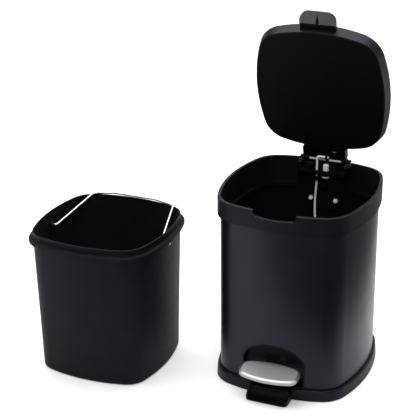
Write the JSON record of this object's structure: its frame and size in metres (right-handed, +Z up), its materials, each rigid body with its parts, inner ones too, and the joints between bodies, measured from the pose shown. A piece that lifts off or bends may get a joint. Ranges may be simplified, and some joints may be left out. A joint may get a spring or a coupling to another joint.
{
  "type": "pedal bin",
  "caption": "Square pedal bin with bowed sides: the pedal lifts a drop-in lid through a lever, push rod and crank, a damper slows it, and a carry bucket with a wire bail stands beside it",
  "frame": {"origin": "on the floor under the middle of the bin and the bucket that stands beside it", "axes": "+Z up; front, where the pedal is, towards -Y; +X to the viewer's right when facing the front, with the bucket at -X"},
  "size_m": [0.448, 0.284, 0.4844],
  "materials": {
    "painted_steel": "satin charcoal powder coat",
    "black_plastic": "matte moulded, black",
    "dark_plastic": "matte, near black",
    "white_plastic": "smooth, silver white",
    "brushed_steel": "satin top, bright bevel",
    "zinc_steel": "bright zinc plated",
    "steel_wire": "bright drawn wire",
    "rubber": "matte"
  },
  "bodies": {
    "bin": {"base": "black_plastic", "rubber_feet": "rubber", "outer_shell": "painted_steel", "pedal_surround": "black_plastic", "top_ring": "black_plastic", "hinge_housing": "black_plastic", "hinge_pin": "steel_wire", "housing_screws": "zinc_steel", "housing_washers": "zinc_steel", "housing_nuts": "zinc_steel", "damper_body": "dark_plastic", "damper_ring": "zinc_steel", "lever_pin": "steel_wire"},
    "lid": {"lid_shell": "black_plastic", "lid_liner": "dark_plastic", "lid_arm": "black_plastic", "lid_arm_screw": "zinc_steel"},
    "push_rod": {"push_rod": "steel_wire"},
    "pedal": {"pedal_lever": "painted_steel", "pedal_core": "dark_plastic", "pedal_plate": "brushed_steel", "pedal_screws": "zinc_steel"},
    "damper_plunger": {"damper_plunger": "white_plastic"},
    "bucket": {"bucket": "black_plastic", "bail_grommets": "dark_plastic"},
    "bail": {"bail_handle": "steel_wire"}
  },
  "joints": [
    {"name": "lid_hinge", "type": "hinge", "parent": "bin", "child": "lid", "pos_m": [0.1205, 0.136, 0.2615], "axis": [1, 0, 0], "range_deg": [0, 76]},
    {"name": "rod_pivot", "type": "hinge", "parent": "lid", "child": "push_rod", "pos_m": [0.1205, 0.12654, 0.26889], "axis": [1, 0, 0], "range_deg": [-76.1, 0]},
    {"name": "pedal_pivot", "type": "hinge", "parent": "bin", "child": "pedal", "pos_m": [0.1205, 0.005, 0.03], "axis": [1, 0, 0], "range_deg": [-7.03, 0]},
    {"name": "damper_slide", "type": "slide", "parent": "bin", "child": "damper_plunger", "axis": [0, 0, -1], "range_m": [0, 0.008]},
    {"name": "bucket_lift", "type": "slide", "parent": "bin", "child": "bucket", "axis": [0, 0, 1], "range_m": [0, 0.3]},
    {"name": "bail_hinge", "type": "hinge", "parent": "bucket", "child": "bail", "pos_m": [-0.1285, -0.0465, 0.1835], "axis": [1, 0, 0], "range_deg": [0, 150]}
  ],
  "couplings": [
    {"joint": "rod_pivot", "follows": "lid_hinge", "ratio": -1},
    {"joint": "pedal_pivot", "follows": "lid_hinge", "ratio": -0.091877},
    {"joint": "damper_slide", "follows": "lid_hinge", "m_per_rad": 0.005956}
  ]
}
